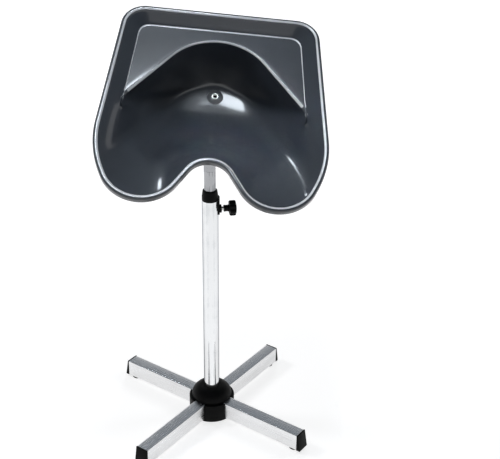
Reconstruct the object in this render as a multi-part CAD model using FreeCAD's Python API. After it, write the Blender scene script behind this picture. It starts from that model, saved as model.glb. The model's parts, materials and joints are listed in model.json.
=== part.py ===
import FreeCAD, Part

import math
import os

# Freestanding shampoo basin on a telescopic pole with a four-armed foot.
# Millimetres, +Z up, floor at Z = 0, pole on the Z axis, basin's rear towards +Y.

V = FreeCAD.Vector
ORIGIN = V(0, 0, 0)
X = V(1, 0, 0)
Y = V(0, 1, 0)
Z = V(0, 0, 1)

# Pose at rest
BASE_TURN = 9.0
BASIN_TILT = 36.5
BASIN_LEAN = 5.3

# Fits
RUN = 0.05
GAP = 0.3
SNUG = 0.1

# Foot
ARM_COUNT = 4
ARM_WIDTH = 30.0
ARM_HEIGHT = 40.0
ARM_WALL = 1.5
ARM_INNER_END = 29.0
PAD_HEIGHT = 6.0
PAD_R = 12.0
PAD_REACH = 232.0
PAD_STEM_R = 4.0
PAD_STEM = 6.0
PAD_STEM_GAP = 1.0
CAP_TOP = 3.0
CAP_BOTTOM = 10.0
CAP_OVERHANG = 0.4
CAP_PLUG = 9.0
HUB_R = 52.0
HUB_FOOT = 3.0
HUB_SPIGOT_END = 60.0
HUB_RECESS_R = 14.0
HUB_RECESS_TOP = 12.0
HUB_FLOOR_TOP = 18.0
COVER_R = 46.0
COVER_EDGE = 4.0
COVER_RISE = 27.5
COVER_NECK_R = 22.0
COVER_WALL = 3.0
ARM_SCREW_R = 3.0
ARM_SCREW_HEAD_R = 5.0
ARM_SCREW_HEAD = 3.0
ARM_SCREW_LENGTH = 18.0
ARM_SCREW_REACH = 44.0
POLE_BOLT_R = 4.0
POLE_BOLT_LENGTH = 24.0
POLE_WASHER_R = 12.0
POLE_WASHER = 1.6

# Pole
OUTER_R = 17.5
OUTER_WALL = 1.5
OUTER_TOP = 545.0
POLE_PLUG_HEIGHT = 30.0
INNER_R = 12.5
INNER_WALL = 1.5
INNER_BOTTOM = 164.0
INNER_TOP = 613.0
BUSH_HEIGHT = 32.0
TUBE_FOOT_FLANGE = 4.0
TUBE_FOOT_R = 14.5
TUBE_FOOT_PLUG = 20.0
STOP_RING_HEIGHT = 5.0
STOP_RING_R = 14.5

# Height clamp
COLLAR_HEIGHT = 23.5
COLLAR_TOP_R = 15.6
COLLAR_PLUG = 44.0
CLAMP_Z = 523.0
TAB_R = 20.5
TAB_WIDTH = 17.0
TAB_FOOT = 11.0
TAB_RISE = 6.0
TAB_ROOT = 2.0
TAB_WEB = 3.0
BOSS_R = 9.0
BOSS_FACE = 24.0
CLAMP_NUT_FLATS = 13.0
CLAMP_NUT = 5.0
STUD_R = 4.0
SHOE_R = 4.7
SHOE = 3.0
SHOE_HOLE_R = 5.0
KNOB_NECK_START = 29.0
KNOB_NECK_R = 7.5
KNOB_NECK = 11.5
KNOB_HEAD_R = 17.0
KNOB_HEAD = 14.5
KNOB_LOBES = 7
KNOB_SCALLOP_R = 5.0
KNOB_SCALLOP_SINK = 2.2
KNOB_EDGE = 1.5
KNOB_DISC_SHARE = 0.6
KNOB_DISC = 0.8

# Two-axis tilt head
LEAN_Z = 629.5
TILT_Z = 644.5
HEAD_PLUG = 40.0
HEAD_RING = 3.0
FORK_WIDTH = 24.0
FORK_GAP = 26.0
FORK_PLATE = 4.5
FORK_WEB = 4.0
FORK_NOSE_R = 12.0
HEAD_PIN_R = 2.0
HEAD_PIN_DROP = 20.0
BLOCK_WIDTH = 24.0
BLOCK_DEPTH = 25.4
BLOCK_FOOT_R = 9.5
BLOCK_TOP_R = 11.0
BOLT_R = 4.0
BOLT_FLATS = 13.0
BOLT_HEAD = 5.3
LEAN_HEAD_R = 7.5
LEAN_HEAD = 3.5
WASHER_R = 8.0
WASHER = 1.6
NUT = 6.5
BRACKET_PLATE = 4.0
BRACKET_RISE = 13.0
BRACKET_WIDTH = 84.0
BRACKET_DEPTH = 60.0
EAR = 4.0
EAR_R = 11.0
TILT_WASHER_R = 10.0
TILT_WASHER = 2.0
TILT_KNOB_R = 11.5
TILT_KNOB_LOBES = 5
BRACKET_SCREW_R = 2.5
BRACKET_SCREW_HEAD_R = 4.5
BRACKET_SCREW_HEAD = 3.0
BRACKET_SCREW_BITE = 4.0
BRACKET_SCREW_X = 32.0
BRACKET_SCREW_Y = 21.0

# Basin, in its own frame: v = 0 at the neck notch, rim at height 0
BASIN_WIDTH = 467.0
BASIN_LENGTH = 465.7
REAR_WIDTH = 419.0
REAR_CORNER_R = 51.0
LIP_DROP = 13.0
LIP_WALL = 3.5
LIP_TOP = 4.0
LIP_ROUND = 3.5
LIP_INNER = 7.0
LIP_BEVEL = 12.0
LIP_BEVEL_DROP = 3.5
SPLIT_U = 0.7
SPLIT_V = 4.0
WALL = 3.2
TRAY_DEPTH = 20.0
TRAY_INSET = 38.0
TRAY_REAR = 35.0
TRAY_CORNER_R = 24.0
BOWL_LEDGE = 1.5
BOWL_DEPTH = 142.0
BOWL_ROUND = 1.8
HIP_R = 36.0
HIP_SWELL = 20.0
HIP_PULL = 18.0
SUMP_LOBE_U = 34.0
SUMP_R = 25.0
SUMP_SAG = 0.6
SUMP_FRONT_R = 350.0
LOBE_FADE = 0.62
SUMP_ARCH_R = 29.0
PIN_DEPTH = 96.95
PAD_BLOCK = 26.0
PAD_MARGIN = 2.0
PAD_CORNER_R = 6.0

# Drain, on the bowl's floor
DRAIN_HOLE_R = 12.0
FLANGE_R = 18.0
FLANGE_EDGE = 1.5
FLANGE_RISE = 5.0
EYELET_R = 7.0
EYELET_RISE = 1.5
WATERWAY_R = 4.5
GASKET_R = 17.0
GASKET = 2.0
NUT_R = 17.0
BACK_NUT = 8.0
SPIGOT_R = 10.0
SPIGOT_BORE_R = 7.5
SPIGOT_DROP = 52.0

# Worked out from the sizes above
ARM_TOP = PAD_HEIGHT + ARM_HEIGHT
ARM_OUTER_END = PAD_REACH + PAD_STEM_R + PAD_STEM_GAP + CAP_PLUG
OUTER_BORE_R = OUTER_R - OUTER_WALL
INNER_BORE_R = INNER_R - INNER_WALL
HEAD_WEB_TOP = INNER_TOP + HEAD_RING + FORK_WEB
EAR_FACE = BLOCK_WIDTH / 2 + GAP
EAR_OUTER = EAR_FACE + EAR
BRACKET_TOP = TILT_Z + BRACKET_RISE + BRACKET_PLATE

# Basin's front and bowl, as shares of its width; a longer basin only has a deeper rear tray
TIP_U = 0.2845 * BASIN_WIDTH
TIP_R = 0.18 * BASIN_WIDTH
SIDE_V = 0.115 * BASIN_WIDTH
SIDE_R = 0.47 * BASIN_WIDTH
NOTCH_R = 0.099 * BASIN_WIDTH
NOTCH_DEPTH = 0.206 * BASIN_WIDTH
LOBE_U = 0.29 * BASIN_WIDTH
LOBE_V = 0.015 * BASIN_WIDTH
LOBE_R = 0.209 * BASIN_WIDTH
HIP_U = 0.3265 * BASIN_WIDTH
ARCH_R = 0.268 * BASIN_WIDTH
HIP_V = 0.2912 * BASIN_WIDTH
ARCH_V = 0.39 * BASIN_WIDTH
SUMP_FRONT_V = 0.4617 * BASIN_WIDTH
SUMP_LOBE_V = SUMP_FRONT_V + SUMP_R - SUMP_SAG
SUMP_ARCH_V = 0.5266 * BASIN_WIDTH
DRAIN_V = 0.531 * BASIN_WIDTH
PIN_V = 0.156 * BASIN_WIDTH
REAR_V = BASIN_LENGTH - NOTCH_DEPTH


def cylinder(radius, length, start, axis=Z):
    return Part.makeCylinder(radius, length, start, axis)


def ring(outer, inner, length, start, axis=Z):
    return cylinder(outer, length, start, axis).cut(cylinder(inner, length, start, axis))


def block(low, high):
    return Part.makeBox(high[0] - low[0], high[1] - low[1], high[2] - low[2], V(*low))


def hexagon(flats, length, start, axis=Z):
    radius = flats / math.sqrt(3)
    spokes = [math.radians(60 * i) for i in range(7)]
    points = [V(radius * math.cos(a), radius * math.sin(a), 0) for a in spokes]
    prism = Part.Face(Part.makePolygon(points)).extrude(V(0, 0, length))
    prism.Placement = FreeCAD.Placement(start, FreeCAD.Rotation(Z, axis))
    return prism


def spin(points, start=ORIGIN, axis=Z):
    """Solid of revolution from (radius, height) points."""
    corners = [V(r, 0, h) for r, h in points]
    face = Part.Face(Part.makePolygon(corners + corners[:1]))
    solid = face.revolve(ORIGIN, Z, 360)
    solid.Placement = FreeCAD.Placement(start, FreeCAD.Rotation(Z, axis))
    return solid


def turned(shape, angle, centre=ORIGIN, axis=Z):
    copy = shape.copy()
    copy.rotate(centre, axis, angle)
    return copy


def arm_angle(index):
    return 45 + 360 / ARM_COUNT * index


def on_base(shape):
    """The foot, outer tube and height clamp are turned a little from the basin."""
    return turned(shape, BASE_TURN)


def on_block(shape):
    """Pieces above the lean bolt, leaned about it."""
    return turned(shape, BASIN_LEAN, V(0, 0, LEAN_Z), Y)


def tilted(shape):
    """Basin's own frame to the upright frame of the tilt bolt."""
    copy = shape.copy()
    copy.translate(V(0, -PIN_V, PIN_DEPTH + TILT_Z))
    copy.rotate(V(0, 0, TILT_Z), X, BASIN_TILT)
    return copy


# Foot

def arm_box(start, end, inset):
    half = ARM_WIDTH / 2 - inset
    return block((start, -half, PAD_HEIGHT + inset), (end, half, ARM_TOP - inset))


def arm():
    tube = arm_box(ARM_INNER_END, ARM_OUTER_END, 0)
    tube = tube.cut(arm_box(ARM_INNER_END, ARM_OUTER_END, ARM_WALL))
    for reach, radius in ((PAD_REACH, PAD_STEM_R), (ARM_SCREW_REACH, ARM_SCREW_R)):
        hole = cylinder(radius + SNUG, 2 * ARM_WALL, V(reach, 0, PAD_HEIGHT - ARM_WALL / 2))
        tube = tube.cut(hole)
    return tube


def end_cap():
    half = ARM_WIDTH / 2 + CAP_OVERHANG
    top = ARM_TOP + CAP_OVERHANG
    side = [(0, PAD_HEIGHT), (CAP_BOTTOM, PAD_HEIGHT), (CAP_TOP, top), (0, top)]
    corners = [V(ARM_OUTER_END + r, -half, z) for r, z in side]
    wedge = Part.Face(Part.makePolygon(corners + corners[:1])).extrude(V(0, 2 * half, 0))
    plug = arm_box(ARM_OUTER_END - CAP_PLUG, ARM_OUTER_END, ARM_WALL + SNUG)
    return wedge.fuse(plug).removeSplitter()


def foot_pad():
    pad = cylinder(PAD_R, PAD_HEIGHT, V(PAD_REACH, 0, 0))
    return pad.fuse(cylinder(PAD_STEM_R, PAD_STEM, V(PAD_REACH, 0, PAD_HEIGHT)))


def arm_screw():
    head_low = PAD_HEIGHT - ARM_SCREW_HEAD
    head = cylinder(ARM_SCREW_HEAD_R, ARM_SCREW_HEAD, V(ARM_SCREW_REACH, 0, head_low))
    return head.fuse(cylinder(ARM_SCREW_R, ARM_SCREW_LENGTH, V(ARM_SCREW_REACH, 0, PAD_HEIGHT)))


def hub_core():
    """Round moulding with a pocket and a spigot for each arm, bored for the pole."""
    core = cylinder(HUB_R, ARM_TOP - HUB_FOOT, V(0, 0, HUB_FOOT))
    inset = ARM_WALL + SNUG
    for i in range(ARM_COUNT):
        core = core.cut(turned(arm_box(ARM_INNER_END, HUB_R + 1, -SNUG), arm_angle(i)))
    for i in range(ARM_COUNT):
        spigot = arm_box(ARM_INNER_END - 1, HUB_SPIGOT_END, inset)
        drill = V(ARM_SCREW_REACH, 0, PAD_HEIGHT)
        spigot = spigot.cut(cylinder(ARM_SCREW_R + SNUG, ARM_SCREW_LENGTH + 1, drill))
        core = core.fuse(turned(spigot, arm_angle(i)))
        sink = cylinder(ARM_SCREW_HEAD_R + SNUG, PAD_HEIGHT, V(ARM_SCREW_REACH, 0, 0))
        core = core.cut(turned(sink, arm_angle(i)))
    core = core.cut(cylinder(OUTER_R + SNUG, ARM_HEIGHT, V(0, 0, HUB_FLOOR_TOP)))
    core = core.cut(cylinder(HUB_RECESS_R, HUB_RECESS_TOP - HUB_FOOT, V(0, 0, HUB_FOOT)))
    return core.cut(cylinder(POLE_BOLT_R + SNUG, ARM_HEIGHT, V(0, 0, 0))).removeSplitter()


def hub_cover():
    """Domed cap over the arms' inner ends."""
    bore = OUTER_R + GAP
    top = ARM_TOP + COVER_RISE
    edge = ARM_TOP + COVER_EDGE
    bulge = V((COVER_R + COVER_NECK_R) / 2 + 3, 0, (edge + top) / 2 + 2.5)
    dome = Part.Arc(V(COVER_R, 0, edge), bulge, V(COVER_NECK_R, 0, top)).toShape()
    corners = [V(COVER_NECK_R, 0, top), V(bore, 0, top), V(bore, 0, top - COVER_WALL),
               V(COVER_NECK_R, 0, top - 2 * COVER_WALL), V(COVER_R - COVER_WALL, 0, ARM_TOP + 1),
               V(COVER_R - COVER_WALL, 0, ARM_TOP), V(COVER_R, 0, ARM_TOP), V(COVER_R, 0, edge)]
    wire = Part.Wire(Part.sortEdges(Part.makePolygon(corners).Edges + [dome])[0])
    return Part.Face(wire).revolve(ORIGIN, Z, 360)


def outer_tube():
    tube = ring(OUTER_R, OUTER_BORE_R, OUTER_TOP - HUB_FLOOR_TOP, V(0, 0, HUB_FLOOR_TOP))
    return tube.cut(cylinder(SHOE_HOLE_R, 2 * OUTER_R, V(0, 0, CLAMP_Z), X))


def pole_plug():
    plug = cylinder(OUTER_BORE_R - SNUG, POLE_PLUG_HEIGHT, V(0, 0, HUB_FLOOR_TOP))
    return plug.cut(cylinder(POLE_BOLT_R + SNUG, POLE_BOLT_LENGTH, V(0, 0, HUB_FLOOR_TOP)))


def pole_washer():
    low = HUB_RECESS_TOP - POLE_WASHER
    return ring(POLE_WASHER_R, POLE_BOLT_R + SNUG, POLE_WASHER, V(0, 0, low))


def pole_bolt():
    head_top = HUB_RECESS_TOP - POLE_WASHER
    head = hexagon(BOLT_FLATS, BOLT_HEAD, V(0, 0, head_top - BOLT_HEAD))
    return head.fuse(cylinder(POLE_BOLT_R, POLE_BOLT_LENGTH, V(0, 0, head_top)))


# Height clamp

def height_collar():
    """Sleeve in the tube's mouth with a tapered crown and a tab that carries the clamp."""
    bore = INNER_R + RUN
    plug = OUTER_BORE_R - SNUG
    top = OUTER_TOP + COLLAR_HEIGHT
    collar = spin([(bore, OUTER_TOP - COLLAR_PLUG), (plug, OUTER_TOP - COLLAR_PLUG), (plug, OUTER_TOP),
                   (OUTER_R, OUTER_TOP), (OUTER_R, OUTER_TOP + COLLAR_HEIGHT * 0.4),
                   (COLLAR_TOP_R, top - 1), (COLLAR_TOP_R - 1, top), (bore, top)])
    tab_low = CLAMP_Z - TAB_FOOT
    tab_top = OUTER_TOP + TAB_RISE
    half = TAB_WIDTH / 2
    root = OUTER_R - TAB_ROOT
    skin = ring(TAB_R, OUTER_R + SNUG, tab_top - tab_low, V(0, 0, tab_low))
    skin = skin.common(block((0, -half, tab_low), (TAB_R, half, tab_top)))
    web = block((root, -half, OUTER_TOP), (root + TAB_WEB, half, tab_top))
    boss_start = root + TAB_WEB
    boss = cylinder(BOSS_R, BOSS_FACE - boss_start, V(boss_start, 0, CLAMP_Z), X)
    collar = collar.fuse([skin, web, boss])
    collar = collar.cut(cylinder(SHOE_HOLE_R, 2 * OUTER_R, V(0, 0, CLAMP_Z), X))
    seat = hexagon(CLAMP_NUT_FLATS + 2 * SNUG, CLAMP_NUT, V(BOSS_FACE - CLAMP_NUT, 0, CLAMP_Z), X)
    collar = collar.cut(seat)
    return collar.cut(cylinder(INNER_R + RUN, 2 * OUTER_TOP, ORIGIN)).removeSplitter()


def clamp_nut():
    start = V(BOSS_FACE - CLAMP_NUT, 0, CLAMP_Z)
    return hexagon(CLAMP_NUT_FLATS, CLAMP_NUT, start, X).cut(cylinder(STUD_R + RUN, CLAMP_NUT, start, X))


def clamp_shoe():
    return cylinder(SHOE_R, SHOE, V(INNER_R + GAP, 0, CLAMP_Z), X)


def star_knob(start, neck_r, head_r, stem_r, lobes):
    """Knob along +X: neck, scalloped head and a shallow disc on its face."""
    face = start.x + KNOB_NECK + KNOB_HEAD
    body = cylinder(neck_r, KNOB_NECK, start, X)
    grip = cylinder(head_r, KNOB_HEAD, start + V(KNOB_NECK, 0, 0), X)
    grip = grip.makeChamfer(KNOB_EDGE, [e for e in grip.Edges if len(e.Vertexes) == 1])
    reach = head_r + KNOB_SCALLOP_R - KNOB_SCALLOP_SINK
    for i in range(lobes):
        place = V(start.x + KNOB_NECK, start.y, start.z + reach)
        groove = cylinder(KNOB_SCALLOP_R, KNOB_HEAD, place, X)
        grip = grip.cut(turned(groove, 360 / lobes * i, start, X))
    disc = cylinder(head_r * KNOB_DISC_SHARE, KNOB_DISC, V(face, start.y, start.z), X)
    knob = body.fuse([grip, disc])
    return knob.cut(cylinder(stem_r + SNUG, KNOB_NECK + KNOB_HEAD / 2, start, X)).removeSplitter()


def clamp_knob():
    start = V(KNOB_NECK_START, 0, CLAMP_Z)
    return star_knob(start, KNOB_NECK_R, KNOB_HEAD_R, STUD_R, KNOB_LOBES)


def clamp_stud():
    start = INNER_R + GAP + SHOE + SNUG
    end = KNOB_NECK_START + KNOB_NECK + KNOB_HEAD / 2
    return cylinder(STUD_R, end - start, V(start, 0, CLAMP_Z), X)


# Mast

def guide_bush():
    start = V(0, 0, INNER_BOTTOM + TUBE_FOOT_FLANGE + SNUG)
    return ring(OUTER_BORE_R - RUN, INNER_R + RUN, BUSH_HEIGHT, start)


def inner_tube():
    low = INNER_BOTTOM + TUBE_FOOT_FLANGE
    tube = ring(INNER_R, INNER_BORE_R, INNER_TOP - low, V(0, 0, low))
    drill = V(-INNER_R - 1, 0, INNER_TOP - HEAD_PIN_DROP)
    return tube.cut(cylinder(HEAD_PIN_R + SNUG, 2 * INNER_R + 2, drill, X))


def tube_foot():
    flange = cylinder(TUBE_FOOT_R, TUBE_FOOT_FLANGE, V(0, 0, INNER_BOTTOM))
    plug = cylinder(INNER_BORE_R - SNUG, TUBE_FOOT_PLUG, V(0, 0, INNER_BOTTOM + TUBE_FOOT_FLANGE))
    return flange.fuse(plug)


def stop_ring():
    start = V(0, 0, INNER_BOTTOM + TUBE_FOOT_FLANGE + BUSH_HEIGHT + 2 * SNUG)
    return ring(STOP_RING_R, INNER_R, STOP_RING_HEIGHT, start)


def pole_head():
    """Plug in the tube's top with a fork for the lean bolt."""
    head = cylinder(INNER_BORE_R - SNUG, HEAD_PLUG, V(0, 0, INNER_TOP - HEAD_PLUG))
    head = head.fuse(cylinder(INNER_R, HEAD_RING, V(0, 0, INNER_TOP)))
    half = FORK_WIDTH / 2
    reach = FORK_GAP / 2 + FORK_PLATE
    web_low = INNER_TOP + HEAD_RING
    head = head.fuse(block((-half, -reach, web_low), (half, reach, HEAD_WEB_TOP)))
    for start in (-reach, FORK_GAP / 2):
        cheek = block((-half, start, web_low), (half, start + FORK_PLATE, LEAN_Z))
        nose = cylinder(FORK_NOSE_R, FORK_PLATE, V(0, start, LEAN_Z), Y)
        head = head.fuse(cheek.fuse(nose))
    head = head.cut(cylinder(BOLT_R + RUN, 2 * reach, V(0, -reach, LEAN_Z), Y))
    sink = Part.makeCone(LEAN_HEAD_R + SNUG, BOLT_R + SNUG, LEAN_HEAD, V(0, -reach, LEAN_Z), Y)
    head = head.cut(sink)
    pin = V(-INNER_R, 0, INNER_TOP - HEAD_PIN_DROP)
    return head.cut(cylinder(HEAD_PIN_R + SNUG, 2 * INNER_R, pin, X)).removeSplitter()


def head_pin():
    start = V(-INNER_R, 0, INNER_TOP - HEAD_PIN_DROP)
    return cylinder(HEAD_PIN_R, 2 * INNER_R, start, X)


def lean_reach():
    return FORK_GAP / 2 + FORK_PLATE


def lean_bolt():
    """Countersunk, its head flush with the fork's front."""
    start = V(0, -lean_reach(), LEAN_Z)
    shank = cylinder(BOLT_R, 2 * lean_reach() + WASHER + NUT, start, Y)
    return shank.fuse(Part.makeCone(LEAN_HEAD_R, BOLT_R, LEAN_HEAD, start, Y))


def lean_washer():
    return ring(WASHER_R, BOLT_R + SNUG, WASHER, V(0, lean_reach(), LEAN_Z), Y)


def lean_nut():
    start = V(0, lean_reach() + WASHER, LEAN_Z)
    return hexagon(BOLT_FLATS, NUT, start, Y).cut(cylinder(BOLT_R + SNUG, NUT, start, Y))


# Tilt head

def cross_block():
    """Carries the lean bolt below and the tilt bolt above, at right angles."""
    half_x = BLOCK_WIDTH / 2
    half_y = BLOCK_DEPTH / 2
    foot = cylinder(BLOCK_FOOT_R, BLOCK_DEPTH, V(0, -half_y, LEAN_Z), Y)
    neck = block((-BLOCK_FOOT_R, -BLOCK_TOP_R, LEAN_Z), (BLOCK_FOOT_R, BLOCK_TOP_R, TILT_Z))
    top = cylinder(BLOCK_TOP_R, BLOCK_WIDTH, V(-half_x, 0, TILT_Z), X)
    cross = foot.fuse([neck, top])
    cross = cross.cut(cylinder(BOLT_R + RUN, BLOCK_DEPTH, V(0, -half_y, LEAN_Z), Y))
    cross = cross.cut(cylinder(BOLT_R + RUN, BLOCK_WIDTH, V(-half_x, 0, TILT_Z), X))
    return on_block(cross.removeSplitter())


def screw_places():
    return [(sx * BRACKET_SCREW_X, sy * BRACKET_SCREW_Y) for sx in (-1, 1) for sy in (-1, 1)]


def tilt_bracket():
    """Plate under the bowl with two ears that straddle the cross block."""
    low = BRACKET_TOP - BRACKET_PLATE
    half_x = BRACKET_WIDTH / 2
    half_y = BRACKET_DEPTH / 2
    plate = block((-half_x, -half_y, low), (half_x, half_y, BRACKET_TOP))
    for x, y in screw_places():
        plate = plate.cut(cylinder(BRACKET_SCREW_R + SNUG, BRACKET_PLATE, V(x, y, low)))
    for start in (-EAR_OUTER, EAR_FACE):
        ear = cylinder(EAR_R, EAR, V(start, 0, TILT_Z), X)
        ear = ear.fuse(block((start, -EAR_R, TILT_Z), (start + EAR, EAR_R, low)))
        plate = plate.fuse(ear)
    plate = plate.cut(cylinder(BOLT_R + RUN, 2 * EAR_OUTER, V(-EAR_OUTER, 0, TILT_Z), X))
    return on_block(plate.removeSplitter())


def bracket_screws():
    low = BRACKET_TOP - BRACKET_PLATE
    screws = []
    for x, y in screw_places():
        head = cylinder(BRACKET_SCREW_HEAD_R, BRACKET_SCREW_HEAD, V(x, y, low - BRACKET_SCREW_HEAD))
        shank = cylinder(BRACKET_SCREW_R, BRACKET_PLATE + BRACKET_SCREW_BITE, V(x, y, low))
        screws.append(head.fuse(shank))
    return on_block(Part.makeCompound(screws))


def tilt_knob_start():
    return EAR_OUTER + GAP + TILT_WASHER + SNUG


def tilt_bolt():
    end = tilt_knob_start() + KNOB_NECK
    shank = cylinder(BOLT_R, end + EAR_OUTER, V(-EAR_OUTER, 0, TILT_Z), X)
    return on_block(shank.fuse(hexagon(BOLT_FLATS, BOLT_HEAD, V(-EAR_OUTER, 0, TILT_Z), X * -1)))


def tilt_washer():
    return on_block(ring(TILT_WASHER_R, BOLT_R + GAP, TILT_WASHER, V(EAR_OUTER + GAP, 0, TILT_Z), X))


def tilt_insert():
    start = V(tilt_knob_start(), 0, TILT_Z)
    return on_block(ring(BOLT_R + 2, BOLT_R + RUN, KNOB_NECK, start, X))


def tilt_knob():
    start = V(tilt_knob_start(), 0, TILT_Z)
    return on_block(star_knob(start, KNOB_NECK_R + 1, TILT_KNOB_R, BOLT_R + 2, TILT_KNOB_LOBES))


# Basin

def belt(circles, grow, height):
    """Closed wire of arcs and tangent lines round circles (u, v, radius), anticlockwise.

    A negative radius is a hollow: the wire passes on the circle's near side.
    """
    count = len(circles)
    grown = [(u, v, r + grow) for u, v, r in circles]
    normals = []
    for i in range(count):
        u1, v1, r1 = grown[i]
        u2, v2, r2 = grown[(i + 1) % count]
        span = math.hypot(u2 - u1, v2 - v1)
        normals.append(math.atan2(v2 - v1, u2 - u1) - math.acos((r1 - r2) / span))

    def touch(i, angle):
        u, v, r = grown[i]
        return V(u + r * math.cos(angle), v + r * math.sin(angle), height)

    edges = []
    for i in range(count):
        begin = normals[i - 1]
        sweep = (normals[i] - begin) % (2 * math.pi)
        if grown[i][2] < 0:
            sweep -= 2 * math.pi
        end = begin + sweep
        edges.append(Part.Arc(touch(i, begin), touch(i, begin + sweep / 2), touch(i, end)).toShape())
        edges.append(Part.makeLine(touch(i, end), touch((i + 1) % count, end)))
    return Part.Wire(edges)


def rim_circles():
    """Rim's outline: a small circle at each lobe's tip, a large one along its side."""
    side_u = BASIN_WIDTH / 2 - SIDE_R
    tip_v = TIP_R - NOTCH_DEPTH
    corner_u = REAR_WIDTH / 2 - REAR_CORNER_R
    corner_v = REAR_V - REAR_CORNER_R
    return [(TIP_U, tip_v, TIP_R), (side_u, SIDE_V, SIDE_R), (corner_u, corner_v, REAR_CORNER_R),
            (-corner_u, corner_v, REAR_CORNER_R), (-side_u, SIDE_V, SIDE_R), (-TIP_U, tip_v, TIP_R),
            (0, -NOTCH_R, -NOTCH_R)]


def tray_circles():
    """Outline of the tray's floor; its lobes are plain circles, split like the rim's."""
    lobe_r = LOBE_R - TRAY_INSET
    corner_u = REAR_WIDTH / 2 - TRAY_INSET - TRAY_CORNER_R
    corner_v = REAR_V - TRAY_REAR - TRAY_CORNER_R
    wide = LOBE_U + SPLIT_U
    high = LOBE_V + SPLIT_V
    return [(LOBE_U, LOBE_V, lobe_r), (wide, high, lobe_r), (corner_u, corner_v, TRAY_CORNER_R),
            (-corner_u, corner_v, TRAY_CORNER_R), (-wide, high, lobe_r), (-LOBE_U, LOBE_V, lobe_r),
            (0, -NOTCH_R, -NOTCH_R - TRAY_INSET)]


def mirrored(lobe, hip, arch, front):
    return [lobe, hip, arch, (-hip[0], hip[1], hip[2]), (-lobe[0], lobe[1], lobe[2]), front]


def bowl_circles(share):
    """Bowl's outline from its edge (share 0) to its floor (share 1).

    The lobes draw in faster than the rest, so that the notch soon fades out.
    The hips swell halfway down, so that no crease runs to the drain.
    """
    inset = TRAY_INSET + BOWL_LEDGE
    halfway = 4 * share * (1 - share)
    pull = HIP_PULL * halfway
    swell = HIP_SWELL * halfway
    edge = mirrored((LOBE_U, LOBE_V, LOBE_R - inset), (HIP_U - pull, HIP_V, HIP_R + swell),
                    (0, ARCH_V, ARCH_R), (0, -NOTCH_R, -NOTCH_R - inset))
    floor = mirrored((SUMP_LOBE_U, SUMP_LOBE_V, SUMP_R),
                     (SUMP_LOBE_U - pull, SUMP_LOBE_V + 4, SUMP_R + swell),
                     (0, SUMP_ARCH_V, SUMP_ARCH_R), (0, SUMP_FRONT_V - SUMP_FRONT_R, -SUMP_FRONT_R))
    shares = mirrored((share, share ** LOBE_FADE, share), (share, share, share), (share, share, share),
                      (share, share, share))
    return [tuple(a + (b - a) * abs(s) for a, b, s in zip(top, low, part))
            for top, low, part in zip(edge, floor, shares)]


def bowl_depth(share):
    """Steep walls that round off into the floor."""
    return TRAY_DEPTH + (BOWL_DEPTH - TRAY_DEPTH) * (1 - (1 - share) ** BOWL_ROUND)


def bowl(grow, drop):
    """Bowl below the tray, grown sideways and dropped for the outer skin."""
    shares = [0.0, 0.18, 0.45, 0.75, 1.0]
    wires = [belt(bowl_circles(s), grow, -bowl_depth(s) - drop) for s in shares]
    lower = Part.makeLoft(wires, True, False)
    collar = Part.Face(wires[0]).extrude(V(0, 0, TRAY_DEPTH / 2 + drop))
    return lower.fuse(collar)


def tray(grow, drop):
    """Shallow tray with sloping walls that the bowl opens from."""
    edge = rim_circles()
    levels = [(edge, LIP_INNER, 0.0), (edge, LIP_BEVEL, LIP_BEVEL_DROP), (tray_circles(), 0.0, TRAY_DEPTH)]
    wires = [belt(circles, grow - inset, -depth - drop) for circles, inset, depth in levels]
    upper = Part.makeLoft(wires, True, True)
    collar = Part.Face(wires[0]).extrude(V(0, 0, 2 + drop))
    return upper.fuse(collar)


def rim():
    """Rolled lip with a turned-down skirt."""
    lip = Part.Face(belt(rim_circles(), 0, -LIP_DROP)).extrude(V(0, 0, LIP_DROP))
    top = [e for e in lip.Edges if min(v.Z for v in e.Vertexes) > -0.1]
    lip = lip.makeFillet(LIP_ROUND, top)
    under = Part.Face(belt(rim_circles(), -LIP_WALL, -LIP_DROP)).extrude(V(0, 0, LIP_DROP - LIP_TOP))
    return lip.cut(under)


def mounting_pad():
    """Flat seat for the bracket, drilled for its screws."""
    half_x = BRACKET_WIDTH / 2 + PAD_MARGIN
    half_y = BRACKET_DEPTH / 2 + PAD_MARGIN
    pad = block((-half_x, -half_y, BRACKET_TOP), (half_x, half_y, BRACKET_TOP + PAD_BLOCK))
    return pad.makeFillet(PAD_CORNER_R, [e for e in pad.Edges if abs(e.tangentAt(e.FirstParameter).z) > 0.9])


def bracket_space():
    """Room for the bracket's plate, which the bowl's underside may not dip into."""
    half_x = BRACKET_WIDTH / 2 + PAD_MARGIN
    half_y = BRACKET_DEPTH / 2 + PAD_MARGIN
    return block((-half_x, -half_y, TILT_Z), (half_x, half_y, BRACKET_TOP))


def basin():
    limit = cylinder(2 * BASIN_LENGTH, BASIN_LENGTH, V(0, 0, -BASIN_LENGTH))
    skin = tray(WALL, WALL).common(limit).fuse([bowl(WALL, WALL), rim()])
    hollow = tray(0, 0).fuse(bowl(0, 0))
    drain = cylinder(DRAIN_HOLE_R, 4 * WALL, V(0, DRAIN_V, -BOWL_DEPTH - 2 * WALL))
    shell = tilted(skin).cut(bracket_space()).fuse(mounting_pad())
    shell = shell.cut(tilted(hollow)).cut(tilted(drain))
    for x, y in screw_places():
        shell = shell.cut(cylinder(BRACKET_SCREW_R + SNUG, BRACKET_SCREW_BITE, V(x, y, BRACKET_TOP)))
    solid = max(shell.Solids, key=lambda s: s.Volume)
    return on_block(solid)


# Drain

def on_basin(shape):
    return on_block(tilted(shape))


def drain_start(height):
    return V(0, DRAIN_V, -BOWL_DEPTH + height)


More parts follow.
